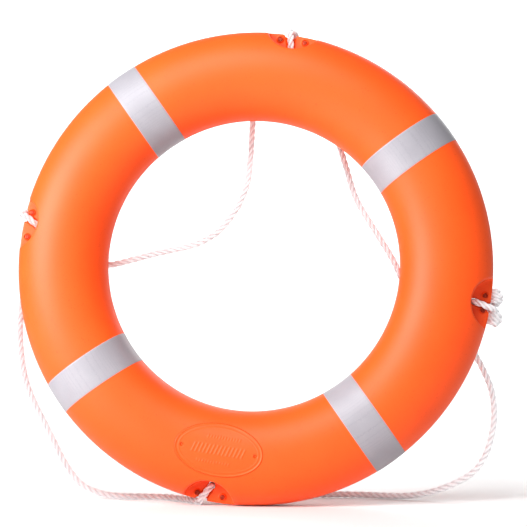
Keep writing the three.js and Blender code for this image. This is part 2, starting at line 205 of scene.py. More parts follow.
def shell_finish():
    """Orange moulded polyethylene: fine grain, soft waves, faint scuffs and fading."""
    f = Finish("shell_orange_plastic")
    fade = f.noise(5.0, detail=3)
    colour = f.ramp(fade, [(0.3, (0.9, 0.074, 0.003)), (0.7, (0.95, 0.092, 0.006))])
    speck = f.ramp(f.noise(420.0, detail=2), [(0.28, (0, 0, 0)), (0.36, (1, 1, 1))])
    colour = f.mix(speck, (0.82, 0.06, 0.003), colour)
    streak = f.add(
        "ShaderNodeMapping", Vector=f.here(), Scale=(1.0, 9.0, 1.0), Rotation=(0.4, 0.2, 0.9)
    )
    scuff = f.ramp(f.noise(46.0, detail=8, roughness=0.75, vector=streak),
                   [(0.62, (0, 0, 0)), (0.78, (1, 1, 1))])
    colour = f.mix(f.grey(scuff, 0.0, 0.1), colour, (0.95, 0.24, 0.1))
    grain = f.noise(1500.0, detail=2)
    waves = f.noise(28.0, detail=1)
    relief = f.bump(grain, 0.00012, strength=0.35)
    relief = f.bump(waves, 0.0009, strength=0.25, normal=relief)
    f.shade(Base_Color=colour, Roughness=f.grey(f.maths("ADD", grain, scuff), 0.4, 0.56),
            Normal=relief)
    f.shader.inputs["Specular IOR Level"].default_value = 0.32
    return f.material


def tape_finish():
    """Grey retro-reflective tape with a fine honeycomb of cells and a few creases."""
    f = Finish("reflective_tape")
    cells = f.add(
        "ShaderNodeTexVoronoi", settings={"feature": "DISTANCE_TO_EDGE"}, Vector=f.here(),
        Scale=620.0, Randomness=0.25,
    )
    seam = f.ramp(cells, [(0.02, (0, 0, 0)), (0.12, (1, 1, 1))])
    dirt = f.noise(34.0, detail=6, roughness=0.6)
    colour = f.ramp(dirt, [(0.3, (0.288, 0.274, 0.303)), (0.72, (0.328, 0.314, 0.343))])
    colour = f.mix(seam, (0.275, 0.262, 0.29), colour)
    creases = f.noise(40.0, detail=2)
    relief = f.bump(seam, 0.00005, strength=0.5)
    relief = f.bump(creases, 0.0006, strength=0.2, normal=relief)
    f.shade(Base_Color=colour, Roughness=f.grey(dirt, 0.4, 0.58), Normal=relief)
    f.shader.inputs["Metallic"].default_value = 0.1
    f.shader.inputs["Coat Weight"].default_value = 0.12
    f.shader.inputs["Coat Roughness"].default_value = 0.25
    return f.material


YARNS_PER_METRE = 330.0
YARNS_PER_STRAND = 2.2


def rope_finish():
    """White laid rope with painted shade in the valleys and between the yarns. The attribute holds
    the way along, the way round a strand and the valley.
    """
    f = Finish("rope_white_fibre")
    place = f.add("ShaderNodeAttribute", output="Vector", settings={"attribute_name": "rope_place"})
    split = f.tree.nodes.new("ShaderNodeSeparateXYZ")
    f.put(split.inputs[0], place)
    along, round_strand, valley = split.outputs
    by_length = f.maths("MULTIPLY", along, YARNS_PER_METRE)
    by_turn = f.maths("MULTIPLY", round_strand, YARNS_PER_STRAND)
    slant = f.maths("ADD", by_length, by_turn)
    yarns = f.maths("SINE", f.maths("MULTIPLY", slant, 2 * math.pi))
    fuzz = f.noise(1100.0, detail=5, roughness=0.7)
    soil = f.noise(22.0, detail=4)
    colour = f.ramp(soil, [(0.32, (0.82, 0.82, 0.84)), (0.6, (0.9, 0.9, 0.92))])
    # Painted shade in the grooves between the yarns.
    colour = f.mix(f.grey(yarns, 0.07, 0.0), colour, (0.6, 0.55, 0.56))
    # Painted shade in the valleys between the strands, grey with a pink cast of painted light
    # thrown back from the orange shell.
    colour = f.mix(f.maths("MULTIPLY", valley, 0.45), colour, (0.55, 0.46, 0.47))
    relief = f.bump(yarns, 0.00022, strength=0.7)
    relief = f.bump(fuzz, 0.0003, strength=0.45, normal=relief)
    f.shade(Base_Color=colour, Roughness=f.grey(fuzz, 0.72, 0.95), Normal=relief)
    f.shader.inputs["Sheen Weight"].default_value = 0.35
    f.shader.inputs["Sheen Roughness"].default_value = 0.4
    return f.material


def steel_finish():
    """Satin metal with turning marks, painted a dark orange: the painted shade of the recesses and
    painted reflection of the orange shell.
    """
    f = Finish("screw_steel")
    stretched = f.add("ShaderNodeMapping", Vector=f.here(), Scale=(1.0, 0.1, 1.0))
    marks = f.noise(2600.0, detail=3, vector=stretched)
    spots = f.noise(300.0, detail=5)
    # Painted shade and painted reflection of the orange shell, in place of the steel's own grey.
    colour = f.ramp(spots, [(0.35, (0.4, 0.05, 0.025)), (0.6, (0.5, 0.09, 0.05))])
    f.shade(Base_Color=colour, Roughness=f.grey(spots, 0.55, 0.35),
            Normal=f.bump(marks, 0.00004, strength=0.5))
    f.shader.inputs["Metallic"].default_value = 1.0
    return f.material


def foam_finish():
    """Pale closed-cell foam with open pores at its skin, darkened inside with painted shade."""
    f = Finish("core_foam")
    pores = f.add("ShaderNodeTexVoronoi", Vector=f.here(), Scale=700.0)
    tint = f.noise(12.0, detail=5)
    colour = f.ramp(tint, [(0.3, (0.72, 0.62, 0.38)), (0.7, (0.82, 0.74, 0.5))])
    # Painted shade inside the pores.
    colour = f.mix(f.ramp(pores, [(0.1, (1, 1, 1)), (0.35, (0, 0, 0))]), colour, (0.5, 0.41, 0.23))
    f.shade(Base_Color=colour, Roughness=f.grey(tint, 0.85, 0.97),
            Normal=f.bump(pores, 0.0006, strength=0.8))
    return f.material


PLASTIC = shell_finish()
TAPE = tape_finish()
ROPE = rope_finish()
STEEL = steel_finish()
FOAM = foam_finish()


# ---- meshes ---------------------------------------------------------------------------------
def make_object(name, points, faces, material, crease=None):
    """A mesh object, smooth apart from the edges sharper than crease, in degrees."""
    mesh = bpy.data.meshes.new(name)
    mesh.from_pydata(np.asarray(points, float).tolist(), [], [list(map(int, f)) for f in faces])
    mesh.validate()
    mesh.polygons.foreach_set("use_smooth", [True] * len(mesh.polygons))
    if crease is not None:
        mesh.set_sharp_from_angle(angle=math.radians(crease))
    mesh.materials.append(material)
    made = bpy.data.objects.new(name, mesh)
    bpy.context.scene.collection.objects.link(made)
    return made


def show(piece, node, body="ring"):
    """The piece stands for a CAD node, which it hides, and rides on a body."""
    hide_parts(node)
    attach(piece, body)


def smooth_max(a, b, k):
    """The larger of two values, rounded where they are less than k apart."""
    h = np.maximum(k - np.abs(a - b), 0) / k
    return np.maximum(a, b) + h * h * k / 4


def smooth_min(a, b, k):
    return -smooth_max(-a, -b, k)


def smooth_step(low, high, x):
    t = np.clip((x - low) / (high - low), 0, 1)
    return t * t * (3 - 2 * t)


def plateau(low, high, x, rise, fall=None):
    """1 between low and high and 0 outside, with a soft step just inside each."""
    return smooth_step(low, low + rise, x) * smooth_step(high, high - (fall or rise), x)


def grid_faces(rows, columns, wrap_rows=False, wrap_columns=False):
    """The quads of a grid of points that is stored row by row."""
    i = np.arange(rows if wrap_rows else rows - 1)
    j = np.arange(columns if wrap_columns else columns - 1)
    i, j = (x.ravel() for x in np.meshgrid(i, j, indexing="ij"))
    i1, j1 = (i + 1) % rows, (j + 1) % columns
    return np.stack([i * columns + j, i1 * columns + j, i1 * columns + j1, i * columns + j1], 1)


# ---- shells -----------------------------------------------------------------------------------
SHELL_CREASE = 38  # degrees
FIXING_REACH = 0.17  # radians each way from a fixing, beyond all of its cuts
FINE_HALF_WIDTH = 0.046  # of the finer part of the grid at a fixing
FINE_STEPS = 80
COARSE_STEPS = 54
FLAT_RADII = (0.24, 0.322)  # between them the face on the middle plane is one strip of quads
BORE_SPARE = 0.0004  # round a screw's head

# How far the edges are rounded, in metres.
POCKET_FLOOR_ROUND = 0.003
POCKET_RIM_ROUND = 0.0022
BOSS_TOP_ROUND = 0.001
BOSS_FOOT_ROUND = 0.0016
HOLE_ROUND = 0.0012
GROOVE_END_ROUND = 0.003
GROOVE_FLOOR_ROUND = 0.004
GROOVE_RIM_ROUND = 0.002
BORE_FLOOR_ROUND = 0.0004
BORE_RIM_ROUND = 0.0008
NOTCH_ROUND = 0.003
PARTING_ROUND = 0.0016


def tube_field(radius, depth):
    """About the distance to the skin of the plain ring, below 0 inside it."""
    u = (radius - SECTION_RADIUS) / SECTION_HALF_WIDTH
    v = depth / HALF_DEPTH
    k = np.sqrt(u * u + v * v)
    slope = np.sqrt((u / SECTION_HALF_WIDTH) ** 2 + (v / HALF_DEPTH) ** 2)
    deep_inside = k < 0.3
    return np.where(deep_inside, -HALF_DEPTH / 2, k * (k - 1) / np.maximum(slope, 1e-6))


def rope_groove(fixing, radial, along, start):
    """Below 0 inside the leaning strip that the rope crosses from its hole to the rim."""
    run = (radial - ROPE_HOLE_AT) / (OUTER_RADIUS - ROPE_HOLE_AT)
    half = ROPE_HOLE_RADIUS + (fixing["mouth"] - ROPE_HOLE_RADIUS) * run
    across = np.abs(along + fixing["lean"] * run) - half
    return smooth_max(across, start - radial, GROOVE_END_ROUND)


def fixing_field(field, fixing, radial, along, depth, front):
    """Cuts a rim fixing into the field: recess, bosses, rope hole, groove and screw bores."""
    reach = RECESS_RADIUS + RECESS_DRAFT * (depth - WEB_HALF)
    wall = np.hypot(radial - RECESS_CENTRE, along) - reach
    pocket = smooth_max(wall, WEB_HALF - depth, POCKET_FLOOR_ROUND)
    field = smooth_max(field, -pocket, POCKET_RIM_ROUND)
    screws = [np.hypot(radial - SCREW_AT, along - s * fixing["screws"] / 2) for s in (1, -1)]
    for away in screws:
        boss = smooth_max(away - BOSS_RADIUS, depth - WEB_HALF - BOSS_HEIGHT, BOSS_TOP_ROUND)
        field = smooth_min(field, boss, BOSS_FOOT_ROUND)
    hole = np.hypot(radial - ROPE_HOLE_AT, along) - ROPE_HOLE_RADIUS
    field = smooth_max(field, -hole, HOLE_ROUND)
    if front:
        strip = rope_groove(fixing, radial, along, ROPE_HOLE_AT)
        groove = smooth_max(strip, GROOVE_FLOOR - depth, GROOVE_FLOOR_ROUND)
        field = smooth_max(field, -groove, GROOVE_RIM_ROUND)
        for away in screws:
            bore = smooth_max(
                away - SCREW_HEAD_RADIUS - BORE_SPARE, SCREW_SEAT - depth, BORE_FLOOR_ROUND
            )
            field = smooth_max(field, -bore, BORE_RIM_ROUND)
    notch = rope_groove(fixing, radial, along, NOTCH_BOTTOM)
    return smooth_max(field, -notch, NOTCH_ROUND)


def shell_field(theta, radius, depth, front):
    """Below 0 inside one half shell. depth counts from the middle plane."""
    field = tube_field(radius, depth)
    for fixing in FIXINGS.values():
        turn = np.angle(np.exp(1j * (theta - turned(fixing["angle"]))))
        near = np.abs(turn) < FIXING_REACH
        radial = radius[near] * np.cos(turn[near])
        along = radius[near] * np.sin(turn[near])
        field[near] = fixing_field(field[near], fixing, radial, along, depth[near], front)
    return smooth_max(field, PARTING_GAP - depth, PARTING_ROUND)


def skin(field, lines, flat):
    """The all-quad skin of the solid where field is below 0, as (points, faces).

    lines holds the grid's angles, radii and depths. The angles wrap. flat is the range of
    radii where the face on the middle plane is one strip of long quads.
    """
    value = field(*np.meshgrid(*lines, indexing="ij"))
    inside = value < 0
    counts = (len(lines[0]), len(lines[1]) - 1, len(lines[2]) - 1)
    total, hits = np.zeros((*counts, 3)), np.zeros(counts)
    first, last = np.searchsorted(lines[1], flat)
    quads = []
    for axis in range(3):
        ahead, value_ahead = np.roll(inside, -1, axis), np.roll(value, -1, axis)
        crossed = inside != ahead
        if axis:
            crossed[(slice(None),) * axis + (-1,)] = False
        at = np.array(np.nonzero(crossed))
        v0, v1 = value[tuple(at)], value_ahead[tuple(at)]
        b, c = (a for a in range(3) if a != axis)
        corners = []
        for step_b, step_c in ((0, 0), (-1, 0), (-1, -1), (0, -1)):
            cell = at.copy()
            cell[b] += step_b
            cell[c] += step_c
            share = np.zeros((at.shape[1], 3))
            share[:, axis], share[:, b], share[:, c] = v0 / (v0 - v1), -step_b, -step_c
            cell[0] %= counts[0]
            np.add.at(total, tuple(cell), share)
            np.add.at(hits, tuple(cell), 1)
            corners.append(np.ravel_multi_index(tuple(cell), counts))
        loop = np.stack(corners, 1)
        backwards = inside[tuple(at)] == (axis == 1)
        loop[backwards] = loop[backwards, ::-1]
        if axis == 2:
            # The face on the middle plane crosses the grid in its first three layers.
            strip = (at[1] >= first) & (at[1] <= last) & (at[2] < 3)
            loop = loop[~strip]
        quads.append(loop)
    i = np.arange(counts[0])
    k = int(np.argmax(hits[0, first - 1] > 0))
    near, far = (
        np.ravel_multi_index((i, np.full_like(i, j), np.full_like(i, k)), counts)
        for j in (first - 1, last)
    )
    quads.append(np.stack([near, np.roll(near, -1), np.roll(far, -1), far], 1))
    quads = np.concatenate(quads)
    used, faces = np.unique(quads, return_inverse=True)
    cells = np.array(np.unravel_index(used, counts))
    part = (total.reshape(-1, 3) / np.maximum(hits.reshape(-1, 1), 1))[used].T
    theta = np.append(lines[0], lines[0][0] + 2 * math.pi)
    place = [
        line[c] + p * (line[c + 1] - line[c])
        for line, c, p in zip((theta, lines[1], lines[2]), cells, part)
    ]
    return settle(field, np.array(place)), faces.reshape(-1, 4)


def settle(field, place, rounds=4, most=0.0009):
    """Moves points given by angle, radius and depth onto the skin of the field."""
    h = 5e-5  # the step that slopes are measured over
    for _ in range(rounds):
        value = field(*place)
        slopes = []
        for axis in range(3):
            step = np.zeros_like(place)
            step[axis] = h / place[1] if axis == 0 else h
            slopes.append((field(*(place + step)) - field(*(place - step))) / (2 * h))
        slopes = np.array(slopes)
        move = -value * slopes / np.maximum((slopes**2).sum(0), 0.05)
        move *= np.minimum(1, most / np.maximum(np.linalg.norm(move, axis=0), 1e-12))
        place = place + move / np.array([place[1], np.ones_like(place[1]), np.ones_like(place[1])])
    return place


def shell_lines():
    """The grid for a half shell: close together round the fixings, the rim and the parting."""
    half = FINE_HALF_WIDTH / SCREW_AT
    angles = []
    for fixing in FIXINGS.values():
        start, end = (turned(fixing["angle"]) + side * half for side in (-1, 1))
        angles.append(np.linspace(start, end, FINE_STEPS, endpoint=False))
        angles.append(np.linspace(end, start + math.pi / 2, COARSE_STEPS, endpoint=False))
    radii = [
        np.arange(0.219, 0.236, 0.0016),
        np.arange(0.236, 0.3235, 0.0042),
        np.arange(0.3245, 0.3645, 0.00115),
    ]
    depths = [
        [-0.0012, -0.0002, 0.0006, 0.0013, 0.0021],
        np.arange(0.003, 0.0115, 0.00095),
        np.arange(0.0125, 0.0445, 0.0024),
        np.arange(0.0452, 0.0545, 0.0013),
    ]
    return [np.concatenate(x) for x in (angles, radii, depths)]


def cut(piece, cutter):
    """Takes the cutter out of the piece, and removes it."""
    modifier = piece.modifiers.new("cut", "BOOLEAN")
    modifier.object = cutter
    modifier.operation = "DIFFERENCE"
    modifier.solver = "EXACT"
    graph = bpy.context.evaluated_depsgraph_get()
    mesh = bpy.data.meshes.new_from_object(piece.evaluated_get(graph))
    piece.modifiers.clear()
    old, piece.data = piece.data, mesh
    bpy.data.meshes.remove(old)
    bpy.data.objects.remove(cutter)
    mesh.set_sharp_from_angle(angle=math.radians(SHELL_CREASE))


def make_shell(name, front):
    """One half shell with its rim fixings, before the seats are cut into it."""

    def field(theta, radius, depth):
        return shell_field(theta, radius, depth, front)

    (theta, radius, depth), faces = skin(field, shell_lines(), FLAT_RADII)
    side = -1 if front else 1
    points = np.stack(
        [radius * np.cos(theta), side * depth, CENTRE_HEIGHT + radius * np.sin(theta)], 1
    )
    if front:
        faces = faces[:, ::-1]
    return make_object(name, points, faces, PLASTIC, crease=SHELL_CREASE)


def skin_depth(radial, along):
    """How far from the middle plane the plain ring's skin is."""
    u = (np.hypot(radial, along) - SECTION_RADIUS) / SECTION_HALF_WIDTH
    return HALF_DEPTH * np.sqrt(np.maximum(1 - u * u, 0))


# ---- name plate -------------------------------------------------------------------------------
# Depths below the shell's skin.
PLATE_SUNK = 0.0006
PLATE_BACK = 0.003
SEAT_FLOOR = 0.0032
PIN_BASE = 0.0052

SEAT_SPARE = 0.0002  # between the plate and its seat
CUTTER_RISE = 0.01
BEAD_HEIGHT = 0.0008
LINE_HEIGHT = 0.0003
BAR_HEIGHT = 0.0004
DIMPLE_DEPTH = 0.0021
SOFT_EDGE = 0.0008
BAR_SLANT = 0.3
# The rows of bars: lower and upper edge, half length of the row, pitch and width of its bars.
BAR_ROWS = [
    (-0.0075, 0.0075, 0.039, 0.0056, 0.0024),
    (-0.0205, -0.0155, 0.025, 0.0042, 0.0018),
    (0.0155, 0.0205, 0.025, 0.0042, 0.0018),
]


def oval_places(spare, rows, columns):
    """A grid over the plate's oval, as outwards and anticlockwise, and its share of the way out."""
    v, u = np.meshgrid(np.linspace(-1, 1, rows), np.linspace(-1, 1, columns), indexing="ij")
    x, y = u * np.sqrt(1 - v * v / 2), v * np.sqrt(1 - u * u / 2)
    radial = PLATE_AT + y * (PLATE_HALF_WIDTH + spare)
    return radial, x * (PLATE_HALF_LENGTH + spare), np.hypot(x, y)


def oval_slab(name, spare, upper, lower, rows, columns, material):
    """A closed slab over the plate's oval, between two heights over the plain ring's skin.

    upper is a function of a point's place, lower is one height.
    """
    radial, along, share = oval_places(spare, rows, columns)
    base = skin_depth(radial, along)
    x, _, z = on_ring(radial, along, 0, PLATE_ANGLE)
    top = np.stack([x, -(base + upper(radial, along, share)), z], -1).reshape(-1, 3)
    low = np.stack([x, -(base + lower), z], -1).reshape(-1, 3)
    n = rows * columns
    quads = grid_faces(rows, columns)
    index = np.arange(n).reshape(rows, columns)
    edge = np.concatenate([index[0, :-1], index[:-1, -1], index[-1, :0:-1], index[:0:-1, 0]])
    ahead = np.roll(edge, -1)
    sides = np.stack([edge, edge + n, ahead + n, ahead], 1)
    faces = np.concatenate([quads, quads[:, ::-1] + n, sides])
    return make_object(name, np.concatenate([top, low]), faces, material, crease=50)


def bars(along, across, low, high, reach, pitch, width):
    """A row of slanted raised bars, from 0 to 1."""
    shifted = along + BAR_SLANT * across
    phase = np.abs((shifted / pitch) % 1 - 0.5) * pitch
    row = smooth_step(SOFT_EDGE / 2, -SOFT_EDGE / 2, phase - width / 2)
    row = row * plateau(low, high, across, SOFT_EDGE)
    return row * smooth_step(reach, reach - SOFT_EDGE, np.abs(shifted))


def plate_relief(radial, along, share):
    """Height of the name plate over the shell: a rim bead, an inner line and generic bars."""
    across = radial - PLATE_AT
    slope = np.hypot(across / PLATE_HALF_WIDTH**2, along / PLATE_HALF_LENGTH**2)
    edge = (1 - share) * share / np.maximum(slope, 1.0)
    bead = plateau(0, 0.0032, edge, 0.0009, 0.0014)
    line = plateau(0.0052, 0.0076, edge, SOFT_EDGE)
    rows = np.clip(sum(bars(along, across, *row) for row in BAR_ROWS), 0, 1)
    from_pin = np.hypot(across, np.abs(along) - PLATE_PIN_AT)
    dimple = smooth_step(0.0027, 0.0021, from_pin)
    raised = BEAD_HEIGHT * bead + LINE_HEIGHT * line + BAR_HEIGHT * rows
    return raised - PLATE_SUNK - DIMPLE_DEPTH * dimple


def over_the_skin(radial, along, share):
    """The height of the top of the slab that cuts the plate's seat."""
    return np.full_like(radial, CUTTER_RISE)


front_shell = make_shell("shell_front", True)
seat = oval_slab(
    "cutter", SEAT_SPARE, over_the_skin, -SEAT_FLOOR, rows=60, columns=90, material=PLASTIC
)
cut(front_shell, seat)
show(front_shell, "front_shell")
back_shell = make_shell("shell_back", False)

plate = oval_slab(
    "plate_name", 0.0, plate_relief, -PLATE_BACK, rows=120, columns=200, material=PLASTIC
)
show(plate, "name_plate")


# ---- turned pieces ----------------------------------------------------------------------------
PAIR = ((1, 1), (2, -1))  # the number of each piece of a pair, and its side of the middle
DRIVE_DEPTH = 0.0011  # of the screws' crosses and the plugs' slots

# Heights on a screw count towards the front, from the middle plane.
SCREW_SIDES = 48
SCREW_TIP = -0.0045
SCREW_TAPER = 0.0015
SCREW_SHANK_RADIUS = 0.002
SCREW_HEAD_UNDERSIDE = SCREW_SEAT + 0.0003
SCREW_HEAD_RIM = 0.0006
SCREW_HEAD_DOME = 0.0015

PIN_SIDES = 32
PIN_RADIUS = 0.0019
PIN_SHOULDER = 0.0025  # where its dome starts
PIN_DOME = 0.0006

PLUG_SIDES = 64
PLUG_TOP = 0.0034
PLUG_SEAT = [(0, 0.0002), (0.0103, 0.0002), (0.0103, 0.009), (0, 0.009)]
PLUG_PROFILE = [
    (0, 0), (0.006, 0), (0.006, 0.0015), (0.01, 0.0015), (0.01, 0.0028), (0.0094, 0.0033),
    (0.0088, PLUG_TOP), (0.0084, 0.003), (0.008, 0.003), (0.0076, PLUG_TOP),
    *[(r, PLUG_TOP) for r in np.linspace(0.0072, 0.0004, 18)], (0, PLUG_TOP),
]


def lathe(name, profile, sides, material, at, facing, relief=None):
    """A profile of (radius, height), from the axis round to the axis, turned about facing."""
    profile = np.array(profile)
    inner = profile[1:-1]
    angles = np.linspace(0, 2 * math.pi, sides, endpoint=False)
    ring = inner[:, None, 0] * np.stack([np.cos(angles), np.sin(angles)])[:, None]
    height = np.repeat(inner[:, 1:], sides, 1)
    if relief:
        height = height + relief(ring[0], ring[1], height)
    points = np.stack([ring[0], ring[1], height], -1).reshape(-1, 3)
    ends = np.array([[0, 0, profile[0, 1]], [0, 0, profile[-1, 1]]])
    if relief:
        ends[1, 2] += relief(np.zeros(1), np.zeros(1), ends[1:, 2])[0]
    faces = grid_faces(len(inner), sides, wrap_columns=True).tolist()
    n, last = len(points), (len(inner) - 1) * sides
    for j in range(sides):
        j1 = (j + 1) % sides
        faces.append([n, j, j1])
        faces.append([last + j1, last + j, n + 1])
    faces = [face[::-1] for face in faces]
    made = make_object(name, np.concatenate([points, ends]), faces, material, crease=35)
    turn = Vector(facing).to_track_quat("Z", "X").to_matrix().to_4x4()
    made.data.transform(Matrix.Translation(at) @ turn)
    return made


def cross_recess(x, y, height):
    """A tapered cross pressed into the top of a screw's head."""
    narrow, long = np.minimum(np.abs(x), np.abs(y)), np.maximum(np.abs(x), np.abs(y))
    cross = smooth_step(0.0008, 0.00035, narrow) * smooth_step(0.0021, 0.0013, long)
    return -DRIVE_DEPTH * cross * (height > SCREW_SEAT)


def screw_profile():
    """A pan-head screw's outline. The top has close rings, which the cross is pressed into."""
    rim = SCREW_HEAD_UNDERSIDE + SCREW_HEAD_RIM
    top = rim + SCREW_HEAD_DOME
    outline = [
        (0, SCREW_TIP), (SCREW_SHANK_RADIUS, SCREW_TIP + SCREW_TAPER),
        (SCREW_SHANK_RADIUS, SCREW_HEAD_UNDERSIDE), (SCREW_HEAD_RADIUS, SCREW_HEAD_UNDERSIDE),
    ]
    for a in np.linspace(0, math.pi / 2, 13)[:-3]:
        width = SCREW_HEAD_RADIUS * math.cos(a) ** 0.6
        outline.append((width, rim + SCREW_HEAD_DOME * math.sin(a) ** 0.8))
    rings = [(r, top) for r in np.linspace(0.0017, 0.0002, 10)]
    return outline + rings + [(0, top)]


for name, fixing in FIXINGS.items():
    for number, side in PAIR:
        at = on_ring(SCREW_AT, side * fixing["screws"] / 2, 0, fixing["angle"])
        screw = lathe(
            f"screw_{name}_{number}", screw_profile(), SCREW_SIDES, STEEL, at, (0, -1, 0),
            cross_recess,
        )
        show(screw, f"recess_screw_{name}_{number}")

pin_dome = [
    (PIN_RADIUS * math.cos(a), PIN_SHOULDER + PIN_DOME * math.sin(a))
    for a in np.linspace(0, 1.45, 8)
]
pin_profile = [(0, 0), (PIN_RADIUS, 0), *pin_dome, (0, PIN_SHOULDER + PIN_DOME)]
pin_depth = PIN_BASE - skin_depth(PLATE_AT, PLATE_PIN_AT)
for number, side in PAIR:
    at = on_ring(PLATE_AT, side * PLATE_PIN_AT, pin_depth, PLATE_ANGLE)
    pin = lathe(f"plate_pin_{number}", pin_profile, PIN_SIDES, PLASTIC, at, (0, -1, 0))
    show(pin, f"name_plate_pin_{number}")


def slot_recess(x, y, height):
    """A coin slot across a plug's head."""
    slot = smooth_step(0.0014, 0.0009, np.abs(y)) * smooth_step(0.0078, 0.007, np.abs(x))
    return -DRIVE_DEPTH * slot * (height > 0.0029)


for name, degrees in (("foam_fill_plug", 90), ("air_vent_plug", 270)):
    at = on_ring(SECTION_RADIUS, 0, HALF_DEPTH - PLUG_TOP, degrees)
    cut(back_shell, lathe("cutter", PLUG_SEAT, PLUG_SIDES, PLASTIC, at, (0, 1, 0)))
    plug = lathe(
        f"{name}_detail", PLUG_PROFILE, PLUG_SIDES, PLASTIC, at, (0, 1, 0), slot_recess
    )
    show(plug, name)
show(back_shell, "back_shell")


# ---- bands ---------------------------------------------------------------------------------------
LAP_RISE = 0.0004
LAP_EDGE = 0.012  # radians over which the lap rises and falls
TAPE_UNDERSIDE = -0.0008  # from the shell's skin
TAPE_EDGE = [-0.0004, -0.0001]  # how far the last two lines of points to each side sag
TAPE_LINES = 17  # lines of points between those


def make_band(name, degrees):
    """A strip of tape round the tube, lapped over itself at the back."""
    lap_start, lap_end = math.radians(62), math.radians(72)
    around = np.concatenate([
        np.linspace(0, lap_start, 30, endpoint=False),
        np.linspace(lap_start, lap_end, 8, endpoint=False),
        np.linspace(lap_end, 2 * math.pi, 150, endpoint=False),
    ])
    lap = plateau(lap_start, lap_end, around, LAP_EDGE)
    half = BAND_WIDTH / 2
    across = np.concatenate([
        [-half, -half + 0.0003],
        np.linspace(-half + 0.001, half - 0.001, TAPE_LINES),
        [half - 0.0003, half],
    ])
    edge = np.array([*TAPE_EDGE, *[0] * TAPE_LINES, *TAPE_EDGE[::-1]])
    rise = BAND_PROUD + edge[None] + LAP_RISE * lap[:, None]
    layers = []
    for lift in (rise, np.full_like(rise, TAPE_UNDERSIDE)):
        u, v = np.cos(around)[:, None], np.sin(around)[:, None]
        slope = np.hypot(u / SECTION_HALF_WIDTH, v / HALF_DEPTH)
        radius = SECTION_RADIUS + SECTION_HALF_WIDTH * u + lift * u / SECTION_HALF_WIDTH / slope
        depth = HALF_DEPTH * v + lift * v / HALF_DEPTH / slope
        along = np.broadcast_to(across, rise.shape)
        radial = np.sqrt(radius**2 - along**2)
        x, _, z = on_ring(radial, along, 0, degrees)
        layers.append(np.stack([x, np.broadcast_to(depth, rise.shape), z], -1))
    loop = np.concatenate([layers[0], layers[1][:, ::-1]], 1)
    faces = grid_faces(len(around), loop.shape[1], wrap_rows=True, wrap_columns=True)
    band = make_object(f"tape_{name}", loop.reshape(-1, 3), faces, TAPE, crease=60)
    show(band, f"reflective_band_{name}")


for name, degrees in BANDS.items():
    make_band(name, degrees)

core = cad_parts["foam_core"]
core.data.materials.clear()
core.data.materials.append(FOAM)

# ---- grab line --------------------------------------------------------------------------------
LOOPS = {
    "lower_right": [
        (0.337, 0.058, 0.232), (0.339, 0.062, 0.222), (0.345, 0.063, 0.211),
        (0.351, 0.063, 0.198), (0.357, 0.063, 0.184), (0.362, 0.063, 0.168),
        (0.3645, 0.063, 0.152), (0.365, 0.063, 0.136), (0.364, 0.063, 0.119),
        (0.36, 0.064, 0.099), (0.354, 0.065, 0.079), (0.346, 0.066, 0.063),
        (0.335, 0.068, 0.048), (0.321, 0.07, 0.037), (0.305, 0.073, 0.028),
        (0.285, 0.079, 0.019), (0.262, 0.087, 0.0115), (0.238, 0.094, 0.007),
        (0.212, 0.101, 0.0056), (0.19, 0.108, 0.0056), (0.168, 0.113, 0.0058),
        (0.144, 0.115, 0.006), (0.118, 0.113, 0.006), (0.09, 0.107, 0.0058),
        (0.061, 0.098, 0.0058), (0.033, 0.087, 0.0075), (0.008, 0.076, 0.012),
        (-0.014, 0.067, 0.018), (-0.032, 0.061, 0.0235), (-0.044, 0.057, 0.0265),
    ],
    "lower_left": [
        (-0.134, 0.055, 0.0055), (-0.15, 0.0605, 0.0055), (-0.172, 0.063, 0.0055),
        (-0.197, 0.063, 0.0056), (-0.223, 0.0625, 0.007), (-0.248, 0.062, 0.0125),
        (-0.274, 0.062, 0.026), (-0.298, 0.062, 0.056), (-0.318, 0.062, 0.092),
        (-0.337, 0.062, 0.127), (-0.356, 0.062, 0.164), (-0.368, 0.062, 0.201),
        (-0.374, 0.062, 0.242), (-0.375, 0.062, 0.28), (-0.373, 0.062, 0.314),
        (-0.366, 0.0625, 0.346), (-0.355, 0.063, 0.374), (-0.344, 0.062, 0.394),
        (-0.337, 0.058, 0.407),
    ],
    "upper_left": [
        (-0.34, 0.057, 0.441), (-0.335, 0.062, 0.427), (-0.325, 0.0635, 0.407),
        (-0.309, 0.0635, 0.388), (-0.287, 0.063, 0.375), (-0.26, 0.0625, 0.368),
        (-0.232, 0.062, 0.367), (-0.184, 0.062, 0.378), (-0.158, 0.062, 0.3845),
        (-0.131, 0.062, 0.39), (-0.108, 0.062, 0.395), (-0.086, 0.062, 0.402),
        (-0.061, 0.062, 0.417), (-0.04, 0.062, 0.44), (-0.025, 0.062, 0.464),
        (-0.0135, 0.062, 0.493), (-0.0085, 0.062, 0.527), (-0.006, 0.062, 0.561),
        (-0.004, 0.062, 0.594), (0.002, 0.0625, 0.623), (0.013, 0.063, 0.648),
        (0.029, 0.0625, 0.668), (0.045, 0.059, 0.68),
    ],
    "upper_right": [
        (0.074, 0.057, 0.7), (0.08, 0.062, 0.687), (0.09, 0.0635, 0.667),
        (0.101, 0.0635, 0.641), (0.112, 0.063, 0.614), (0.122, 0.0625, 0.588),
        (0.131, 0.062, 0.562), (0.139, 0.062, 0.536), (0.146, 0.062, 0.511),
        (0.152, 0.062, 0.489), (0.159, 0.062, 0.469), (0.167, 0.062, 0.453),
        (0.177, 0.062, 0.436), (0.195, 0.062, 0.406), (0.212, 0.062, 0.377),
        (0.223, 0.062, 0.354), (0.233, 0.062, 0.329), (0.242, 0.0625, 0.303),
        (0.253, 0.063, 0.277), (0.267, 0.0635, 0.254), (0.286, 0.0635, 0.242),
        (0.305, 0.0635, 0.246), (0.318, 0.0625, 0.262), (0.324, 0.0585, 0.278),
    ],
}
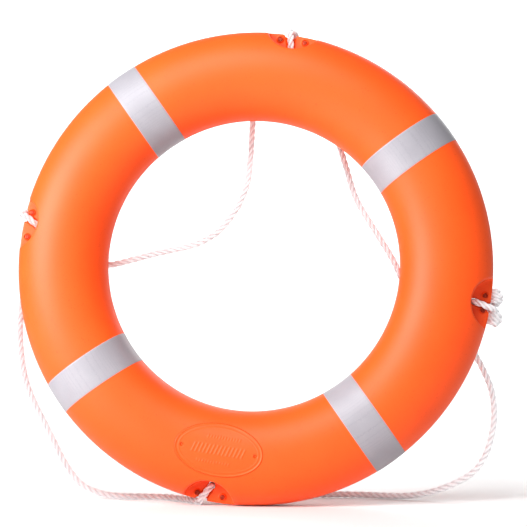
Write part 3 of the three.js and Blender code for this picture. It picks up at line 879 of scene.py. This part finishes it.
INTO_HOLE = {
    "bottom": [(-0.053, 0.05, 0.0282), (-0.0585, 0.041, 0.0292)],
    "left": [(-0.3325, 0.05, 0.415), (-0.3309, 0.041, 0.419)],
    "top": [(0.0545, 0.051, 0.6865), (0.059, 0.042, 0.69)],
    "right": [(0.3285, 0.05, 0.29), (0.3303, 0.041, 0.2975)],
}
OUT_OF_RIM = {
    "bottom": [(-0.09, 0.014, 0.0054), (-0.101, 0.029, 0.0054), (-0.116, 0.043, 0.0054)],
    "left": [(-0.355, 0.014, 0.445), (-0.351, 0.029, 0.448), (-0.346, 0.044, 0.4475)],
    "top": [(0.066, 0.014, 0.722), (0.068, 0.029, 0.718), (0.0705, 0.044, 0.711)],
    "right": [on_ring(0.367, -0.0065, 0.0088, 0)],
}
KNOT_AT = 0.369
KNOT_ALONG = -0.0015
KNOT_TILT = 0.1
KNOT_DEPTH = 0.022
KNOT_RADIUS = 0.0135
KNOT_HALF_LENGTH = 0.015


def turn_route(name):
    """The rope from the back recess through the hole, over the web's front and over the rim."""
    fixing = FIXINGS[name]
    hole, proud, lean = ROPE_HOLE_AT, fixing["proud"], fixing["lean"]
    places = [
        (hole, 0.03, 0), (hole, 0.014, 0), (hole, 0.001, 0),
        (hole + 0.0023, -0.006, -0.1 * lean), (hole + 0.008, -0.0086, -0.33 * lean),
        (hole + 0.015, -0.0089, -0.63 * lean), (proud - 0.008, -0.0082, -0.87 * lean),
        (proud - 0.0018, -0.004, -lean), (proud, 0.003, -1.03 * lean),
    ]
    crossing = [on_ring(radial, along, depth, fixing["angle"]) for radial, depth, along in places]
    return [*INTO_HOLE[name], *crossing, *OUT_OF_RIM[name]]


def knot_point(outwards, along, deeper):
    """A point of the two knots, along is its offset from where they meet."""
    radial = KNOT_AT - KNOT_TILT * along + outwards
    return on_ring(radial, KNOT_ALONG + along, KNOT_DEPTH + deeper, 0)


# From the back of the lower knot to the first loop: outwards, along the rim and in depth.
KNOT_LEAD = [
    (0.36, -0.024, 0.038), (0.357, -0.035, 0.045), (0.355, -0.046, 0.0505),
    (0.3545, -0.056, 0.055),
]


# The rope starts and ends out of sight inside the lower knot.
STRETCHES = {
    "lead": [
        knot_point(0, -0.9 * KNOT_HALF_LENGTH, 0.002),
        *(on_ring(*place, 0) for place in KNOT_LEAD),
    ],
    "lower_right": LOOPS["lower_right"],
    "bottom": turn_route("bottom"),
    "lower_left": LOOPS["lower_left"],
    "left": turn_route("left"),
    "upper_left": LOOPS["upper_left"],
    "top": turn_route("top"),
    "upper_right": LOOPS["upper_right"],
    "right": [*turn_route("right"), knot_point(-0.001, -0.006, -0.003)],
}


LINE_STEPS = 24  # samples from each point of a line to the next


def smooth_line(points):
    """A centripetal Catmull-Rom line through the points."""
    points = np.array(points)
    padded = np.vstack([2 * points[0] - points[1], points, 2 * points[-1] - points[-2]])
    w = np.arange(LINE_STEPS)[:, None] / LINE_STEPS
    samples = []
    for x0, x1, x2, x3 in zip(padded, padded[1:], padded[2:], padded[3:]):
        d0, d1, d2 = (math.sqrt(np.linalg.norm(b - a)) for a, b in ((x0, x1), (x1, x2), (x2, x3)))
        leave = ((x1 - x0) / d0 - (x2 - x0) / (d0 + d1) + (x2 - x1) / d1) * d1
        arrive = ((x2 - x1) / d1 - (x3 - x1) / (d1 + d2) + (x3 - x2) / d2) * d1
        bend = -3 * x1 + 3 * x2 - 2 * leave - arrive
        samples.append(x1 + leave * w + bend * w**2 + (2 * x1 - 2 * x2 + leave + arrive) * w**3)
    return np.vstack([*samples, points[-1:]])


class Line:
    """A smooth line with a frame that doesn't twist, read by the length along it."""

    def __init__(self, points):
        self.points = smooth_line(points)
        steps = np.linalg.norm(np.diff(self.points, axis=0), axis=1)
        self.lengths = np.concatenate([[0], np.cumsum(steps)])
        along = np.gradient(self.points, axis=0)
        self.along = along / np.linalg.norm(along, axis=1)[:, None]
        across = np.cross(self.along[0], (0.3, 0.2, 1.0))
        sides = []
        for direction in self.along:
            across = across - direction * (across @ direction)
            across = across / np.linalg.norm(across)
            sides.append(across)
        self.side = np.array(sides)

    def read(self, table, lengths):
        return np.stack([np.interp(lengths, self.lengths, table[:, i]) for i in range(3)], 1)


STRANDS = 3
STRAND_RADIUS = 0.00272
STRAND_OFFSET = 0.00232
LAY_LENGTH = 0.034
ROUND_STEPS = 36
ALONG_STEP = 0.00125


def rope_outline(angle):
    """The laid rope's radius at an angle, and the way over the strand there, from 0 to 1.

    The strands' crowns are at angle 0 and a third of a turn to each side.
    """
    third = 2 * math.pi / STRANDS
    a = (angle + third / 2) % third - third / 2
    reach = STRAND_OFFSET * np.cos(a)
    return reach + np.sqrt(STRAND_RADIUS**2 - (STRAND_OFFSET * np.sin(a)) ** 2), a / third + 0.5


def rope_mesh(name, line, start, end, thickness=1.0, valley_shade=1.0):
    """A closed tube of twisted strands along a line, between two lengths.

    The last argument scales the painted shade in the valleys between the strands.
    """
    count = max(8, round((end - start) / ALONG_STEP))
    lengths = np.linspace(start, end, count + 1)
    centre, along, side = (line.read(t, lengths) for t in (line.points, line.along, line.side))
    along = along / np.linalg.norm(along, axis=1)[:, None]
    side = side - along * (side * along).sum(1)[:, None]
    side = side / np.linalg.norm(side, axis=1)[:, None]
    up = np.cross(along, side)
    round_angles = np.linspace(0, 2 * math.pi, ROUND_STEPS, endpoint=False)
    twist = 2 * math.pi * lengths / LAY_LENGTH
    radius, strand = rope_outline(round_angles)
    angle = round_angles[None] + twist[:, None]
    ring = np.cos(angle)[..., None] * side[:, None] + np.sin(angle)[..., None] * up[:, None]
    points = (centre[:, None] + ring * (radius * thickness)[None, :, None]).reshape(-1, 3)
    rows = count + 1
    faces = grid_faces(rows, ROUND_STEPS, wrap_columns=True)[:, ::-1].tolist()
    faces.append(list(range(ROUND_STEPS))[::-1])
    faces.append(list(range((rows - 1) * ROUND_STEPS, rows * ROUND_STEPS)))
    made = make_object(name, points, faces, ROPE, crease=75)
    crown = STRAND_RADIUS + STRAND_OFFSET
    low = rope_outline(np.array([math.pi / STRANDS]))[0][0]
    valley = np.broadcast_to((crown - radius) / (crown - low), (rows, ROUND_STEPS))
    place = np.stack([
        np.broadcast_to(lengths[:, None], valley.shape), np.broadcast_to(strand, valley.shape),
        valley_shade * valley,
    ], -1)
    attribute = made.data.attributes.new("rope_place", "FLOAT_VECTOR", "POINT")
    attribute.data.foreach_set("vector", place.astype(np.float32).ravel())
    return made


grab_line = Line([p for points in STRETCHES.values() for p in points])

# The lengths along the line where each stretch starts and ends.
ends, counted = {}, 0
for name, points in STRETCHES.items():
    first, last = counted, counted + len(points) - 1
    ends[name] = [grab_line.lengths[i * LINE_STEPS] for i in (first, last)]
    counted = last + 1

for name, points in LOOPS.items():
    start, end = ends[name]
    loop = rope_mesh(f"rope_loop_{name}", grab_line, start, end)
    show(loop, f"grab_line_{name}", body=f"loop_{name}")
    middle = grab_line.read(grab_line.points, np.linspace(start, end, 240))

# Each turn is two pieces that meet in the groove, this far from its first point.
TURN_SPLIT = 0.062


def bending(piece, node):
    """The piece stands for a CAD node, which it hides, and keeps its place baked into its mesh."""
    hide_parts(node)
    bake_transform(piece)


order = list(STRETCHES)
for name in FIXINGS:
    before = order[order.index(name) - 1]
    start = ends[before][1]
    middle = ends[name][0] + TURN_SPLIT
    into = rope_mesh(f"rope_turn_{name}_in", grab_line, start, middle)
    bending(into, f"rope_turn_{name}")
    if name == "right":
        out = rope_mesh("rope_turn_right_out", grab_line, middle, ends[name][1])
        show(out, "rope_turn_right")
    else:
        after = order[order.index(name) + 1]
        end = ends[after][0]
        out = rope_mesh(f"rope_turn_{name}_out", grab_line, middle, end)
        bending(out, f"rope_turn_{name}")
lead_end = ends["lower_right"][0]
lead = rope_mesh("rope_lead", grab_line, 0, lead_end)
bending(
    lead, "rope_knot_lead"
)


def knot_line(side):
    """A barrel knot: three wraps round the rope that fill one lump, with both ends tucked in."""
    wraps, steps = 3, 48
    wrap_radius = KNOT_RADIUS - ROPE_DIAMETER / 2
    reach = KNOT_HALF_LENGTH - ROPE_DIAMETER / 2
    places = [(0, 0, 1.1 * reach), (0, 0, 0), (0.002, 0.001, -0.5 * reach)]
    for step in range(steps + 1):
        share = step / steps
        a = 2 * math.pi * wraps * share
        bulge = 1 - 0.22 * (2 * share - 1) ** 4
        radius = wrap_radius * bulge * min(1, 0.4 + 9 * share, 0.4 + 9 * (1 - share))
        places.append((radius * math.cos(a), radius * math.sin(a), reach * (2 * share - 1)))
    return Line([knot_point(x, side * (KNOT_HALF_LENGTH + z), y) for x, y, z in places])


for name, side in (("upper", 1), ("lower", -1)):
    line = knot_line(side)
    knot = rope_mesh(
        f"rope_knot_{name}_wraps", line, 0, line.lengths[-1], thickness=0.97, valley_shade=0.3
    )
    show(knot, f"rope_knot_{name}")


# ---- studio -------------------------------------------------------------------------------------
def make_sweep():
    """A white floor that curves up into a backdrop."""
    width, front, back, bend, height = 7.0, -4.0, 2.2, 1.2, 5.0
    profile = [(y, 0.0) for y in np.linspace(front, back, 12)]
    profile += [
        (back + bend * math.sin(a), bend * (1 - math.cos(a)))
        for a in np.linspace(0, math.pi / 2, 24)[1:]
    ]
    profile += [(back + bend, z) for z in np.linspace(bend, height, 6)[1:]]
    points = [(x, y, z) for y, z in profile for x in (-width, width)]
    finish = Finish("studio_paper")
    white = finish.ramp(finish.noise(3.0), [(0.3, (0.79, 0.79, 0.79)), (0.7, (0.81, 0.81, 0.81))])
    finish.shade(Base_Color=white, Roughness=0.85)
    sweep = make_object("studio_sweep", points, grid_faces(len(profile), 2), finish.material)


def add_light(name, location, target, size, watts):
    data = bpy.data.lights.new(name, "AREA")
    data.shape = "DISK"
    data.size = size
    data.energy = watts
    light = bpy.data.objects.new(name, data)
    bpy.context.scene.collection.objects.link(light)
    light.location = location
    light.rotation_euler = (Vector(target) - Vector(location)).to_track_quat("-Z", "Y").to_euler()
    return light


def link_light(light, pieces, state):
    """The light reaches only the pieces (INCLUDE) or everything except them (EXCLUDE)."""
    group = bpy.data.collections.new(f"{light.name}_{state.lower()}")
    for piece in pieces:
        group.objects.link(piece)
    for member in group.collection_objects:
        member.light_linking.link_state = state
    light.light_linking.receiver_collection = group


make_sweep()
# The key would burn the white rope out against the white paper, so the rope has a softer light.
rope_pieces = [o for o in bpy.data.objects if o.type == "MESH" and ROPE in o.data.materials[:]]
key = add_light("key", (-1.7, -1.55, 0.95), (0, 0, 0.38), size=1.4, watts=93)
link_light(key, rope_pieces, "EXCLUDE")
rope_light = add_light("rope_light", (0.5, -2.0, 1.0), (0, 0, 0.35), size=1.8, watts=19)
link_light(rope_light, rope_pieces, "INCLUDE")
add_light("top", (-0.3, -1.7, 1.9), (0, 0, 0.4), size=1.0, watts=30)
add_light("back", (0.8, 1.6, 1.6), (0, 0, 0.35), size=1.2, watts=10)
add_light("backdrop", (0, 1.3, 2.6), (0, 3.4, 1.4), size=2.0, watts=100)

world = bpy.data.worlds.new("world")
bpy.context.scene.world = world
world.use_nodes = True
background = world.node_tree.nodes["Background"]
background.inputs["Color"].default_value = (1, 1, 1, 1)
background.inputs["Strength"].default_value = 0.34
bpy.context.scene.view_settings.view_transform = "Standard"
